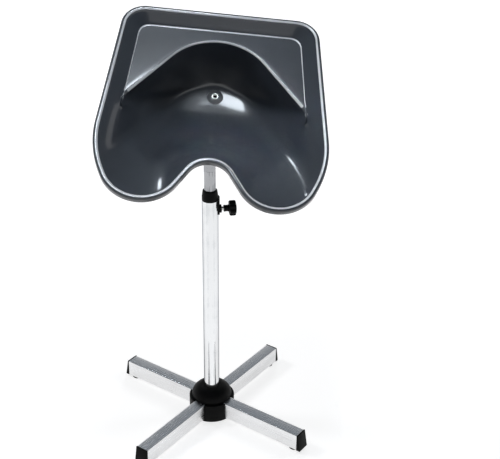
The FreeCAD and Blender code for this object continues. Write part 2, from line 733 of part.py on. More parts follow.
def drain_flange():
    """Low dome on the bowl's floor that clamps the outlet."""
    dome = [(EYELET_R - 1, 0), (FLANGE_R, 0), (FLANGE_R, FLANGE_EDGE), (FLANGE_R * 0.7, FLANGE_RISE * 0.75),
            (EYELET_R + 1, FLANGE_RISE), (EYELET_R - 1, FLANGE_RISE)]
    return on_basin(spin(dome, drain_start(0)))


def drain_eyelet():
    """Bright ring round the inlet, its sleeve inside the flange."""
    top = FLANGE_RISE + EYELET_RISE
    inner = WATERWAY_R
    profile = [(inner, 0), (EYELET_R - 1 - SNUG, 0), (EYELET_R - 1 - SNUG, FLANGE_RISE),
               (EYELET_R, FLANGE_RISE), (EYELET_R, top - 0.5), (EYELET_R - 1, top), (inner, top)]
    return on_basin(spin(profile, drain_start(0)))


def drain_gasket():
    return on_basin(ring(GASKET_R, DRAIN_HOLE_R - 1, GASKET, drain_start(-WALL - GASKET)))


def drain_nut():
    low = -WALL - GASKET - BACK_NUT
    return on_basin(ring(NUT_R, DRAIN_HOLE_R - 1, BACK_NUT, drain_start(low)))


def drain_spigot():
    """Outlet tube: threaded neck in the floor, plain end for a hose."""
    neck = DRAIN_HOLE_R - 1 - SNUG
    nut_low = -WALL - GASKET - BACK_NUT
    profile = [(SPIGOT_BORE_R, 0), (neck, 0), (neck, nut_low - 3), (SPIGOT_R, nut_low - 4),
               (SPIGOT_R, -SPIGOT_DROP), (SPIGOT_BORE_R, -SPIGOT_DROP)]
    return on_basin(spin(profile, drain_start(0)))


def around(shape):
    return [on_base(turned(shape, arm_angle(i))) for i in range(ARM_COUNT)]


def nodes():
    parts = {
        "hub_core": on_base(hub_core()),
        "hub_cover": on_base(hub_cover()),
        "arm_screws": Part.makeCompound(around(arm_screw())),
        "outer_tube": on_base(outer_tube()),
        "pole_plug": on_base(pole_plug()),
        "pole_washer": on_base(pole_washer()),
        "pole_bolt": on_base(pole_bolt()),
        "height_collar": on_base(height_collar()),
        "clamp_nut": on_base(clamp_nut()),
        "clamp_shoe": on_base(clamp_shoe()),
        "clamp_stud": on_base(clamp_stud()),
        "clamp_knob": on_base(clamp_knob()),
        "guide_bush": guide_bush(),
        "inner_tube": inner_tube(),
        "tube_foot": tube_foot(),
        "stop_ring": stop_ring(),
        "pole_head": pole_head(),
        "head_pin": head_pin(),
        "lean_bolt": lean_bolt(),
        "lean_washer": lean_washer(),
        "lean_nut": lean_nut(),
        "cross_block": cross_block(),
        "tilt_bracket": tilt_bracket(),
        "bracket_screws": bracket_screws(),
        "tilt_bolt": tilt_bolt(),
        "tilt_washer": tilt_washer(),
        "tilt_insert": tilt_insert(),
        "tilt_knob": tilt_knob(),
        "basin": basin(),
        "drain_flange": drain_flange(),
        "drain_eyelet": drain_eyelet(),
        "drain_gasket": drain_gasket(),
        "drain_nut": drain_nut(),
        "drain_spigot": drain_spigot(),
    }
    for name, make in (("arm", arm), ("end_cap", end_cap), ("foot", foot_pad)):
        for i, shape in enumerate(around(make()), start=1):
            parts[f"{name}_{i}"] = shape
    return parts


os.makedirs("parts", exist_ok=True)
for name, shape in nodes().items():
    shape.exportStep(f"parts/{name}.step")
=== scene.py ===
import json
import math

import bmesh
import bpy
import numpy as np
from mathutils import Matrix, Vector
from mathutils.bvhtree import BVHTree


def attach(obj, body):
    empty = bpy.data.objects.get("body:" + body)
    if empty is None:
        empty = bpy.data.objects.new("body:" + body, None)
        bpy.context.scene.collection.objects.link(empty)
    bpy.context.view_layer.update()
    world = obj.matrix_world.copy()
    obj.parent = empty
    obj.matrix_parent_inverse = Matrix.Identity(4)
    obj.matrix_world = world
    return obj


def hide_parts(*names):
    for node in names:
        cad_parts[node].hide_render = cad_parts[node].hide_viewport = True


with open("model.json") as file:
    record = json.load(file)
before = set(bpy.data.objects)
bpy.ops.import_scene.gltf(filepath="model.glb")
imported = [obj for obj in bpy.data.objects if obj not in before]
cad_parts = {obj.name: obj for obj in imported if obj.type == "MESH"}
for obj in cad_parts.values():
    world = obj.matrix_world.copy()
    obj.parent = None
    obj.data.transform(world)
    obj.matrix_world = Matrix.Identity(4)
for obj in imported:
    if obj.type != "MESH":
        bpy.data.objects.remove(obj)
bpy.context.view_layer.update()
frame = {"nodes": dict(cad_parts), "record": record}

# Sizes in millimetres, as in the CAD source; meshes are made in metres.
MM = 0.001
BASE_TURN = math.radians(9.0)
BASIN_TILT = math.radians(36.5)
BASIN_LEAN = math.radians(5.3)
LEAN_Z, TILT_Z = 629.5, 644.5
PIN_V, PIN_DEPTH = 72.852, 96.95
BRACKET_TOP, BRACKET_PLATE = TILT_Z + 17.0, 4.0

# Foot and pole
ARM_START, ARM_END, ARM_LOW, ARM_TOP, ARM_HALF = 29.0, 246.0, 6.0, 46.0, 15.0
FOOT_REACH = 232.0
OUTER_R, OUTER_BORE_R, OUTER_LOW, OUTER_TOP = 17.5, 16.0, 18.0, 545.0
INNER_R, INNER_BORE_R, INNER_LOW, INNER_TOP = 12.5, 11.0, 168.0, 613.0
CLAMP_Z, SHOE_HALF = 523.0, 5.2

# Basin, in its own frame: u across, v along from the notch's apex, depths below the rim
BASIN_WIDTH, BASIN_LENGTH, REAR_WIDTH, REAR_CORNER_R = 467.0, 465.7, 419.0, 51.0
TIP_U, TIP_R, SIDE_V, SIDE_R = (share * BASIN_WIDTH for share in (0.2845, 0.18, 0.115, 0.47))
NOTCH_R, NOTCH_DEPTH = (share * BASIN_WIDTH for share in (0.099, 0.206))
LOBE_U, LOBE_V, LOBE_R = (share * BASIN_WIDTH for share in (0.29, 0.015, 0.209))
HIP_U, HIP_V, ARCH_V, ARCH_R = (share * BASIN_WIDTH for share in (0.3265, 0.2912, 0.39, 0.268))
HIP_R, HIP_SWELL, HIP_PULL = 36.0, 20.0, 18.0
SUMP_FRONT_V, SUMP_ARCH_V, DRAIN_V = (share * BASIN_WIDTH for share in (0.4617, 0.5266, 0.531))
SUMP_LOBE_V, SUMP_HIP_SET = SUMP_FRONT_V + 24.4, 4.0
SUMP_LOBE_U, SUMP_LOBE_R, SUMP_ARCH_R, SUMP_FRONT_R = 34.0, 25.0, 29.0, 350.0
REAR_V = BASIN_LENGTH - NOTCH_DEPTH
WALL, LIP_WALL, LIP_DROP = 3.2, 3.5, 13
TRAY_DEPTH, TRAY_INSET, TRAY_REAR, TRAY_CORNER_R = 20.0, 38.0, 35.0, 24.0
TRAY_SIDE_U, TRAY_SIDE_V = 0.7, 4.0
BOWL_LEDGE, BOWL_DEPTH, BOWL_ROUND, LOBE_FADE = 1.5, 142.0, 1.8, 0.62
DRAIN_HOLE_R = 12.0


def shift(x, y, z):
    return Matrix.Translation((x * MM, y * MM, z * MM))


BASE = Matrix.Rotation(BASE_TURN, 4, "Z")
LEAN = shift(0, 0, LEAN_Z) @ Matrix.Rotation(BASIN_LEAN, 4, "Y") @ shift(0, 0, -LEAN_Z)
BASIN = LEAN @ shift(0, 0, TILT_Z) @ Matrix.Rotation(BASIN_TILT, 4, "X") @ shift(0, -PIN_V, PIN_DEPTH)
DRAIN = BASIN @ shift(0, DRAIN_V, -BOWL_DEPTH)
ALONG_X = Matrix.Rotation(math.radians(90), 4, "Y")


# Materials

def new_material(name):
    material = bpy.data.materials.new(name)
    material.use_nodes = True
    tree = material.node_tree
    return material, tree, tree.nodes["Principled BSDF"]


def link(tree, a, b):
    tree.links.new(a, b)


def coords(tree, scale=(1, 1, 1), own=None):
    """The object's coordinates, or those that a piece keeps in an attribute of its own."""
    mapping = tree.nodes.new("ShaderNodeMapping")
    mapping.inputs["Scale"].default_value = scale
    if own:
        place = tree.nodes.new("ShaderNodeAttribute")
        place.attribute_name = own
        link(tree, place.outputs["Vector"], mapping.inputs["Vector"])
    else:
        place = tree.nodes.new("ShaderNodeTexCoord")
        link(tree, place.outputs["Object"], mapping.inputs["Vector"])
    return mapping.outputs["Vector"]


def noise(tree, vector, scale, detail=3.0, rough=0.5):
    node = tree.nodes.new("ShaderNodeTexNoise")
    node.inputs["Scale"].default_value = scale
    node.inputs["Detail"].default_value = detail
    node.inputs["Roughness"].default_value = rough
    link(tree, vector, node.inputs["Vector"])
    return node.outputs["Fac"]


def spread(tree, value, low, high, to_low, to_high):
    node = tree.nodes.new("ShaderNodeMapRange")
    for name, number in zip(("From Min", "From Max", "To Min", "To Max"), (low, high, to_low, to_high)):
        node.inputs[name].default_value = number
    link(tree, value, node.inputs["Value"])
    return node.outputs["Result"]


def blend(tree, value, low, high, dark, light):
    node = tree.nodes.new("ShaderNodeValToRGB")
    node.color_ramp.elements[0].position = low
    node.color_ramp.elements[1].position = high
    node.color_ramp.elements[0].color = (*dark, 1)
    node.color_ramp.elements[1].color = (*light, 1)
    link(tree, value, node.inputs["Fac"])
    return node.outputs["Color"]


def maths(tree, operation, a, b):
    node = tree.nodes.new("ShaderNodeMath")
    node.operation = operation
    link(tree, a, node.inputs[0])
    link(tree, b, node.inputs[1])
    return node.outputs[0]


def plus(tree, a, b):
    return maths(tree, "ADD", a, b)


def bump(tree, height, strength, distance, before=None):
    node = tree.nodes.new("ShaderNodeBump")
    node.inputs["Strength"].default_value = strength
    node.inputs["Distance"].default_value = distance
    link(tree, height, node.inputs["Height"])
    if before is not None:
        link(tree, before, node.inputs["Normal"])
    return node.outputs["Normal"]


def moulded_gloss(name, dark, light, rough, painted_highlight):
    """Glossy moulded plastic: colour drift, wiped patches, scuffs, slight orange peel, and pale edges that
    are a painted highlight.
    """
    material, tree, shader = new_material(name)
    at = coords(tree)
    edges = tree.nodes.new("ShaderNodeAttribute")
    edges.attribute_name = "highlight_amount"
    drift = spread(tree, noise(tree, at, 9, 4), 0.3, 0.7, 0.0, 0.3)
    colour = tree.nodes.new("ShaderNodeValToRGB")
    stops = colour.color_ramp.elements
    stops[0].color = (*dark, 1)
    stops[1].color = (*painted_highlight, 1)
    middle = stops.new(0.35)
    middle.color = (*light, 1)
    # The attribute mixes in the pale colour, a painted highlight on the rounded edges.
    highlight_mix = spread(tree, edges.outputs["Fac"], 0.25, 1.0, 0.0, 0.9)
    link(tree, plus(tree, drift, highlight_mix), colour.inputs["Fac"])
    link(tree, colour.outputs["Color"], shader.inputs["Base Color"])
    wiped = spread(tree, noise(tree, at, 14, 5, 0.6), 0.3, 0.7, rough * 0.8, rough * 1.25)
    scuffs = spread(tree, noise(tree, coords(tree, (30, 420, 60)), 1.6, 2), 0.66, 0.80, 0, 0.06)
    link(tree, plus(tree, wiped, scuffs), shader.inputs["Roughness"])
    shader.inputs["Coat Weight"].default_value = 0.8
    shader.inputs["Coat Roughness"].default_value = 0.10
    peel = bump(tree, noise(tree, at, 420, 2), 0.05, 0.0003)
    link(tree, bump(tree, noise(tree, at, 24, 2), 0.05, 0.004, peel), shader.inputs["Normal"])
    return material


def moulded_satin(name, dark, light, rough, grain=900, shine=0.5):
    """Textured moulded plastic or rubber with a fine grain."""
    material, tree, shader = new_material(name)
    shader.inputs["Specular IOR Level"].default_value = shine
    at = coords(tree)
    link(tree, blend(tree, noise(tree, at, 35, 4), 0.3, 0.7, dark, light), shader.inputs["Base Color"])
    wiped = spread(tree, noise(tree, at, 60, 4), 0.3, 0.7, rough * 0.85, rough * 1.15)
    link(tree, wiped, shader.inputs["Roughness"])
    link(tree, bump(tree, noise(tree, at, grain, 2), 0.25, 0.0003), shader.inputs["Normal"])
    return material


def metal(name, dark, light, rough, lines, line_scale, mottle=25, own=None):
    """Bare metal with drawing lines along one of its own axes and slight mottling; on the tubes the lines
    also stand in as painted reflection streaks.
    """
    material, tree, shader = new_material(name)
    shader.inputs["Metallic"].default_value = 1.0
    drawn_lines_and_painted_streaks = noise(tree, coords(tree, lines, own), line_scale, 3, 0.6)
    stain = noise(tree, coords(tree), mottle, 4)
    drift = plus(tree, drawn_lines_and_painted_streaks, stain)
    link(tree, blend(tree, drift, 0.75, 1.2, dark, light), shader.inputs["Base Color"])
    link(tree, spread(tree, drift, 0.7, 1.3, rough * 1.4, rough * 0.7), shader.inputs["Roughness"])
    link(tree, bump(tree, drawn_lines_and_painted_streaks, 0.04, 0.0004), shader.inputs["Normal"])
    return material


# The basin's last colour is pale: the painted highlight on its rim and the tray's edges.
ABS = moulded_gloss("basin_abs", (0.022, 0.0275, 0.036), (0.031, 0.038, 0.050), 0.36, (0.74, 0.74, 0.75))
DOME = moulded_gloss("drain_dome", (0.09, 0.093, 0.10), (0.20, 0.205, 0.215), 0.24, (0.4, 0.4, 0.4))
# The chrome's grey lines along the tube are partly drawing lines and partly painted reflection streaks.
CHROME = metal("chrome", (0.80, 0.81, 0.82), (0.92, 0.925, 0.93), 0.06, (150, 150, 1.2), 1.4)
# The dark specular tint darkens the tube's rims: painted shade.
CHROME.node_tree.nodes["Principled BSDF"].inputs["Specular Tint"].default_value = (0.25, 0.26, 0.28, 1)
# The inner tube's dark and pale stripes are painted reflection streaks on chrome.
PAINTED_STREAK_CHROME = metal("chrome_painted_streaks", (0.07, 0.073, 0.08), (0.42, 0.425, 0.44), 0.12, (150, 150, 1.2), 1.4)
STEEL = metal("arm_steel", (0.78, 0.78, 0.785), (0.88, 0.88, 0.885), 0.26, (2, 260, 260), 1.5, 12, "grain")
ZINC = metal("zinc_plate", (0.50, 0.50, 0.49), (0.70, 0.70, 0.68), 0.34, (60, 60, 60), 4.0, 160)
BLACK = moulded_satin("black_plastic", (0.0010, 0.0010, 0.0011), (0.0024, 0.0024, 0.0025), 0.5, 900, 0.10)
PAINT = moulded_satin("black_paint", (0.010, 0.010, 0.011), (0.018, 0.018, 0.019), 0.42, 500)
RUBBER = moulded_satin("black_rubber", (0.009, 0.009, 0.009), (0.017, 0.017, 0.017), 0.75, 700)
NYLON = moulded_satin("natural_nylon", (0.62, 0.61, 0.56), (0.74, 0.73, 0.68), 0.45, 600)


# Mesh tools

def rounded(points, radii, steps=4, closed=True):
    """Polyline whose corners are turned into arcs of the given radii, kept within their sides."""
    points = [np.array(p, float) for p in points]
    count = len(points)
    out = []
    for i, corner in enumerate(points):
        radius = radii[i] if hasattr(radii, "__len__") else radii
        if (not closed and i in (0, count - 1)) or radius <= 0:
            out.append(corner)
            continue
        a = points[i - 1] - corner
        b = points[(i + 1) % count] - corner
        la, lb = np.linalg.norm(a), np.linalg.norm(b)
        a, b = a / la, b / lb
        half = math.acos(max(-1.0, min(1.0, float(a @ b)))) / 2
        reach = min(radius / math.tan(half), 0.49 * la, 0.49 * lb)
        weight = math.sin(half)
        for k in range(steps + 1):
            t = k / steps
            parts = ((1 - t) ** 2, 2 * t * (1 - t) * weight, t * t)
            out.append((parts[0] * (corner + a * reach) + parts[1] * corner + parts[2] * (corner + b * reach))
                       / sum(parts))
    return out


def strips(rows, columns, first=0, wrap_rows=False):
    """Quads of a grid that closes on itself along its columns."""
    faces = []
    for i in range(rows if wrap_rows else rows - 1):
        low, high = first + i * columns, first + (i + 1) % rows * columns
        for j in range(columns):
            k = (j + 1) % columns
            faces.append((low + j, low + k, high + k, high + j))
    return faces


def lathe(profile, segments=64, closed=True):
    """Verts and faces of (radius, height) points turned about local Z. An open profile is capped."""
    angles = [2 * math.pi * j / segments for j in range(segments)]
    verts = [(r * math.cos(a), r * math.sin(a), h) for r, h in profile for a in angles]
    faces = strips(len(profile), segments, 0, closed)
    if not closed:
        faces.append(tuple(range(segments)))
        faces.append(tuple(range((len(profile) - 1) * segments, len(profile) * segments)))
    return verts, faces


def merge(*meshes):
    verts, faces = [], []
    for v, f in meshes:
        faces += [tuple(i + len(verts) for i in face) for face in f]
        verts += [tuple(p) for p in v]
    return verts, faces


def moved(mesh, matrix):
    """The same mesh in another place; the matrix is in metres and the mesh in millimetres."""
    turn, start = matrix.to_3x3(), matrix.translation / MM
    return [tuple(turn @ Vector(p) + start) for p in mesh[0]], mesh[1]


def piece(name, mesh, material, body, nodes=(), place=Matrix.Identity(4), sharp=38, grain=False):
    data = bpy.data.meshes.new(name)
    data.from_pydata([tuple(c * MM for c in p) for p in mesh[0]], [], mesh[1])
    if grain:
        own = data.attributes.new("grain", "FLOAT_VECTOR", "POINT")
        own.data.foreach_set("vector", [c for v in data.vertices for c in v.co])
    data.transform(place)
    work = bmesh.new()
    work.from_mesh(data)
    bmesh.ops.recalc_face_normals(work, faces=work.faces)
    work.to_mesh(data)
    work.free()
    data.polygons.foreach_set("use_smooth", [True] * len(data.polygons))
    data.set_sharp_from_angle(angle=math.radians(sharp))
    data.materials.append(material)
    obj = bpy.data.objects.new(name, data)
    bpy.context.scene.collection.objects.link(obj)
    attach(obj, body)
    if nodes:
        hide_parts(*nodes)
    return obj


def bevelled(mesh, width, segments=3, limit=25):
    """The mesh with its sharp edges rounded."""
    work = bmesh.new()
    made = [work.verts.new(p) for p in mesh[0]]
    for face in mesh[1]:
        work.faces.new([made[i] for i in face])
    bmesh.ops.recalc_face_normals(work, faces=work.faces)
    edges = [e for e in work.edges if e.calc_face_angle(0) > math.radians(limit)]
    bmesh.ops.bevel(work, geom=edges, offset=width, segments=segments, profile=0.5, affect="EDGES")
    work.verts.index_update()
    out = [tuple(v.co) for v in work.verts], [tuple(v.index for v in f.verts) for f in work.faces]
    work.free()
    return out


def prism(outline, low, high):
    """Straight prism: outline points (a, b) become (a, low..high, b)."""
    n = len(outline)
    verts = [(a, low, b) for a, b in outline] + [(a, high, b) for a, b in outline]
    faces = strips(2, n) + [tuple(range(n)), tuple(range(n, 2 * n))]
    return verts, faces


def box(low, high):
    outline = [(low[0], low[2]), (high[0], low[2]), (high[0], high[2]), (low[0], high[2])]
    return prism(outline, low[1], high[1])


# Basin: outlines of tangent arcs and lines, in the basin's own frame

ARC_STEPS = 160


def half_outline(circles, grow):
    """Right half of a belt round circles (u, v, radius), from the notch's apex to the middle of the rear.

    Gives dense points and the distance along them of four marks: the lobe's tip, the lobe's side,
    the rear corner and the end.
    """
    count = len(circles)
    grown = [(u, v, r + grow) for u, v, r in circles]
    normals = []
    for i in range(count):
        u1, v1, r1 = grown[i]
        u2, v2, r2 = grown[(i + 1) % count]
        span = math.hypot(u2 - u1, v2 - v1)
        normals.append(math.atan2(v2 - v1, u2 - u1) - math.acos(max(-1, min(1, (r1 - r2) / span))))

    def sweep_of(i):
        sweep = (normals[i] - normals[i - 1]) % (2 * math.pi)
        return sweep - 2 * math.pi if grown[i][2] < 0 else sweep

    def arc(i, begin, sweep):
        u, v, r = grown[i]
        angles = begin + sweep * np.linspace(0, 1, ARC_STEPS)
        return np.column_stack([u + r * np.cos(angles), v + r * np.sin(angles)])

    front = count - 1
    half = sweep_of(front) / 2
    has_arch = count == 6
    parts = [arc(front, normals[front - 1] + half, half)]
    turn = (normals[front] + math.pi) % (2 * math.pi) - math.pi
    turns = []
    for i in range(2 if has_arch else 3):
        parts.append(arc(i, normals[i - 1], sweep_of(i)))
        turns.append(turn + sweep_of(i) * np.linspace(0, 1, ARC_STEPS))
        turn += sweep_of(i)
    if has_arch:
        parts.append(arc(2, normals[1], sweep_of(2) / 2))
    else:
        parts.append(np.array([[0.0, parts[-1][-1][1]]]))
    points = np.concatenate(parts)
    along = np.concatenate([[0], np.cumsum(np.linalg.norm(np.diff(points, axis=0), axis=1))])
    turns = np.concatenate(turns)
    convex = along[ARC_STEPS:ARC_STEPS + len(turns)]
    if has_arch:
        corner = (along[3 * ARC_STEPS - 1] + along[3 * ARC_STEPS]) / 2
    else:
        corner = along[3 * ARC_STEPS + ARC_STEPS // 2]
    marks = [0.0, np.interp(-math.pi / 2, turns, convex), np.interp(0.0, turns, convex), corner, along[-1]]
    return points, along, marks


MARK_STEPS = (38, 36, 40, 34)
COLUMNS = 2 * sum(MARK_STEPS)


def loop(circles, grow, height):
    """Closed ring of COLUMNS points at a height; every ring's columns face each other."""
    points, along, marks = half_outline(circles, grow)
    steps = [np.linspace(a, b, n, endpoint=False) for a, b, n in zip(marks, marks[1:], MARK_STEPS)]
    where = np.append(np.concatenate(steps), marks[-1])
    right = np.column_stack([np.interp(where, along, points[:, k]) for k in (0, 1)])
    left = right[-2:0:-1] * (-1, 1)
    flat = np.concatenate([right, left])
    return np.column_stack([flat, np.full(len(flat), height)])


def rim_circles():
    side_u, tip_v = BASIN_WIDTH / 2 - SIDE_R, TIP_R - NOTCH_DEPTH
    corner_u, corner_v = REAR_WIDTH / 2 - REAR_CORNER_R, REAR_V - REAR_CORNER_R
    return [(TIP_U, tip_v, TIP_R), (side_u, SIDE_V, SIDE_R), (corner_u, corner_v, REAR_CORNER_R),
            (-corner_u, corner_v, REAR_CORNER_R), (-side_u, SIDE_V, SIDE_R), (-TIP_U, tip_v, TIP_R),
            (0, -NOTCH_R, -NOTCH_R)]


def tray_circles():
    lobe_r, wide, high = LOBE_R - TRAY_INSET, LOBE_U + TRAY_SIDE_U, LOBE_V + TRAY_SIDE_V
    corner_u, corner_v = REAR_WIDTH / 2 - TRAY_INSET - TRAY_CORNER_R, REAR_V - TRAY_REAR - TRAY_CORNER_R
    return [(LOBE_U, LOBE_V, lobe_r), (wide, high, lobe_r), (corner_u, corner_v, TRAY_CORNER_R),
            (-corner_u, corner_v, TRAY_CORNER_R), (-wide, high, lobe_r), (-LOBE_U, LOBE_V, lobe_r),
            (0, -NOTCH_R, -NOTCH_R - TRAY_INSET)]


def mirrored(lobe, hip, arch, front):
    return [lobe, hip, arch, (-hip[0], hip[1], hip[2]), (-lobe[0], lobe[1], lobe[2]), front]


def bowl_circles(share):
    inset = TRAY_INSET + BOWL_LEDGE
    halfway = 4 * share * (1 - share)
    pull, swell = HIP_PULL * halfway, HIP_SWELL * halfway
    edge = mirrored((LOBE_U, LOBE_V, LOBE_R - inset), (HIP_U - pull, HIP_V, HIP_R + swell),
                    (0, ARCH_V, ARCH_R), (0, -NOTCH_R, -NOTCH_R - inset))
    floor = mirrored((SUMP_LOBE_U, SUMP_LOBE_V, SUMP_LOBE_R),
                     (SUMP_LOBE_U - pull, SUMP_LOBE_V + SUMP_HIP_SET, SUMP_LOBE_R + swell),
                     (0, SUMP_ARCH_V, SUMP_ARCH_R), (0, SUMP_FRONT_V - SUMP_FRONT_R, -SUMP_FRONT_R))
    lobe = (share, share ** LOBE_FADE, share)
    plain = (share, share, share)
    shares = mirrored(lobe, plain, plain, plain)
    return [tuple(a + (b - a) * abs(s) for a, b, s in zip(top, low, part))
            for top, low, part in zip(edge, floor, shares)]


def bowl_loop(share, grow, drop):
    depth = TRAY_DEPTH + (BOWL_DEPTH - TRAY_DEPTH) * (1 - (1 - share) ** BOWL_ROUND)
    return softened(loop(bowl_circles(share), grow, -depth - drop), share)


def corner_rings(before, corner, after, radius, steps):
    """Rings that round a corner ring between its neighbours."""
    a, b = before - corner, after - corner
    la = np.linalg.norm(a, axis=1, keepdims=True)
    lb = np.linalg.norm(b, axis=1, keepdims=True)
    a, b = a / np.maximum(la, 1e-6), b / np.maximum(lb, 1e-6)
    half = np.arccos(np.clip((a * b).sum(1, keepdims=True), -0.9999, 0.9999)) / 2
    reach = np.minimum(radius / np.tan(half), np.minimum(0.49 * la, 0.49 * lb))
    weight = np.sin(half)
    rings = []
    for t in np.linspace(0, 1, steps + 1):
        p = ((1 - t) ** 2, 2 * t * (1 - t) * weight, t * t)
        rings.append((p[0] * (corner + a * reach) + p[1] * corner + p[2] * (corner + b * reach))
                     / (p[0] + p[1] + p[2]))
    return rings


def between(a, b, count):
    return [a + (b - a) * t for t in np.linspace(0, 1, count + 2)[1:-1]]


# Shares of the bowl's depth: where its brow ends and where one curve from the lip may join it
BROW_SHARE, JOIN_SHARE = 0.05, 0.30
# Ledge widths between which the painted highlight on the tray's edges comes in
LEDGE_FROM, LEDGE_TO = 1.8, 3.5
# Easing of the bowl: columns of blur at most, shares of depth it starts at and grows over, passes
SOFTEST, EASE_FROM, EASE_OVER, EASE_PASSES = 11.0, 0.05, 0.6, 70
# The bowl's floor rises to the rear from SUMP_LOW_V; the rise fades in below SUMP_FADE_FROM
SUMP_FALL, SUMP_LOW_V, SUMP_RISE_OVER, SUMP_FADE_FROM, SUMP_FADE_OVER = 0.10, 205.0, 70, 100, 40
BOWL_MIDDLE = np.array([0.0, 150.0])
# Rounds of the tray's foot and the bowl's brow, and rows of each part of the dish
FOOT_ROUND, BROW_ROUND = 7.0, 4.5
WALL_ROWS, FOOT_ROWS, TRAY_ROWS, BROW_ROWS, UPPER_ROWS, DEEP_ROWS, HOLE_ROWS = 3, 5, 6, 6, 7, 30, 5
# The one curve at the front: its handles, its points, and columns over which it comes in
NEAR_SHARE, FAR_SHARE, AHEAD_SHARE, CURVE_POINTS, CURVE_BLUR = 0.8, 0.55, 0.02, 80, 9.0
# The lip: its flat crest, the bevel inside it, the start of its underside, and its rounds
CREST_WIDTH, BEVEL_INSET, BEVEL_DEPTH, UNDER_INSET, UNDER_DEPTH = 8, 13, 4.2, 8.8, 6.7
SKIRT_ROUND, CREST_ROUND, RIDGE_ROUND, TURN_ROUND = 1.2, 4.2, 10.0, 6.0


def crest(count, gain=1.3):
    """Painted highlight across the rings of a rounded edge, most in the middle."""
    return np.minimum(np.sin(np.linspace(0, math.pi, count)) * gain, 1)


def blurred(values, columns):
    """Values round a ring, each averaged with its neighbours over about so many columns."""
    waves = np.fft.rfftfreq(COLUMNS) * 2 * math.pi
    damping = np.exp(-(waves * columns) ** 2 / 2)[:, None]
    return np.fft.irfft(np.fft.rfft(values, axis=0) * damping, COLUMNS, axis=0)


def softened(ring, share):
    """A ring of the bowl with its turns eased, more so the deeper it lies."""
    ease = SOFTEST * min(max((share - EASE_FROM) / EASE_OVER, 0), 1)
    return np.column_stack([blurred(ring, ease)[:, :2], ring[:, 2]])


def eased(rings, times):
    """Rings whose profile is rounded; the first and the last stay."""
    rings = np.array(rings)
    for _ in range(times):
        rings[1:-1] = (rings[:-2] + 2 * rings[1:-1] + rings[2:]) / 4
    return list(rings)


def clearance(ring, other, finer=12):
    """Distance of each point of a ring from another ring, seen from above."""
    steps = np.linspace(0, 1, finer, endpoint=False)
    fine = np.concatenate([other + (np.roll(other, -1, axis=0) - other) * t for t in steps])
    return np.linalg.norm(ring[:, None, :2] - fine[None, :, :2], axis=2).min(axis=1)


def ledge_share(width):
    """How much of an edge's painted highlight shows beside a ledge of this width."""
    return np.clip((width - LEDGE_FROM) / (LEDGE_TO - LEDGE_FROM), 0, 1)


def dished(lip, grow, drop):
    """Rings from the lip's inner edge down the tray and the bowl to the drain's hole, and their painted edge
    highlight.

    Where the tray's floor is wide its edges are crisp; where it runs out, at the front,
    the tray's wall and the bowl's wall run into each other in one curve.
    """
    tray = loop(tray_circles(), grow, -TRAY_DEPTH - drop)
    edge = bowl_loop(0.0, grow, drop)
    upper = bowl_loop(BROW_SHARE, grow, drop)
    joined = bowl_loop(JOIN_SHARE, grow, drop)
    foot = corner_rings(lip, tray, edge, FOOT_ROUND, FOOT_ROWS)
    brow = corner_rings(tray, edge, upper, BROW_ROUND, BROW_ROWS)
    crisp = [lip] + between(lip, foot[0], WALL_ROWS) + foot + between(foot[-1], brow[0], TRAY_ROWS) + brow
    crisp += [bowl_loop(s, grow, drop) for s in np.linspace(BROW_SHARE, JOIN_SHARE, UPPER_ROWS)]
    painted_highlight = np.zeros((len(crisp), COLUMNS))
    foot_row = 1 + WALL_ROWS
    brow_row = foot_row + len(foot) + TRAY_ROWS
    # The tray's foot and the bowl's brow get a painted highlight where the ledge is wide.
    painted_highlight[foot_row:foot_row + len(foot)] = crest(len(foot))[:, None] * ledge_share(clearance(tray, edge))
    painted_highlight[brow_row:brow_row + len(brow)] = crest(len(brow))[:, None] * ledge_share(clearance(edge, tray))

    ahead = bowl_loop(JOIN_SHARE + AHEAD_SHARE, grow, drop) - joined
    ahead = ahead / np.linalg.norm(ahead, axis=1, keepdims=True)
    reach = np.linalg.norm(joined - tray, axis=1, keepdims=True)
    near = lip + (tray - lip) * NEAR_SHARE
    far = joined - ahead * reach * FAR_SHARE
    steps = np.stack([np.linalg.norm(b - a, axis=1) for a, b in zip(crisp, crisp[1:])])
    lengths = np.concatenate([np.zeros((1, COLUMNS)), np.cumsum(steps, axis=0)])
    t = np.linspace(0, 1, CURVE_POINTS)[:, None, None]
    curve = (1 - t) ** 3 * lip + 3 * (1 - t) ** 2 * t * near + 3 * (1 - t) * t * t * far + t ** 3 * joined
    gone = np.cumsum(np.linalg.norm(np.diff(curve, axis=0, prepend=curve[:1]), axis=2), axis=0)
    smooth = np.empty((len(crisp), COLUMNS, 3))
    for c in range(COLUMNS):
        for k in range(3):
            smooth[:, c, k] = np.interp(lengths[:, c] / lengths[-1, c], gone[:, c] / gone[-1, c],
                                        curve[:, c, k])

    span = tray[:, :2] - edge[:, :2]
    outward = tray[:, :2] - BOWL_MIDDLE
    ledge = (span * outward).sum(1) / np.linalg.norm(outward, axis=1)
    mix = np.clip(2 * blurred((ledge > LEDGE_TO)[:, None] * 1.0, CURVE_BLUR), 0, 1)
    mix = mix * mix * (3 - 2 * mix)
    rings = [mix * a + (1 - mix) * b for a, b in zip(crisp, smooth)]
    deep = [bowl_loop(s, grow, drop) for s in np.linspace(JOIN_SHARE, 1.0, DEEP_ROWS)]
    hole = hole_ring(-BOWL_DEPTH - drop)
    deep = eased(deep + between(deep[-1], hole, HOLE_ROWS) + [hole], EASE_PASSES)[1:]
    for ring in deep:
        sunk = np.clip((-ring[:, 2] - drop - SUMP_FADE_FROM) / SUMP_FADE_OVER, 0, 1)
        ring[:, 2] += SUMP_FALL * np.clip(ring[:, 1] - SUMP_LOW_V, 0, SUMP_RISE_OVER) * sunk
    return rings + deep, list(painted_highlight) + [np.zeros(COLUMNS)] * len(deep)


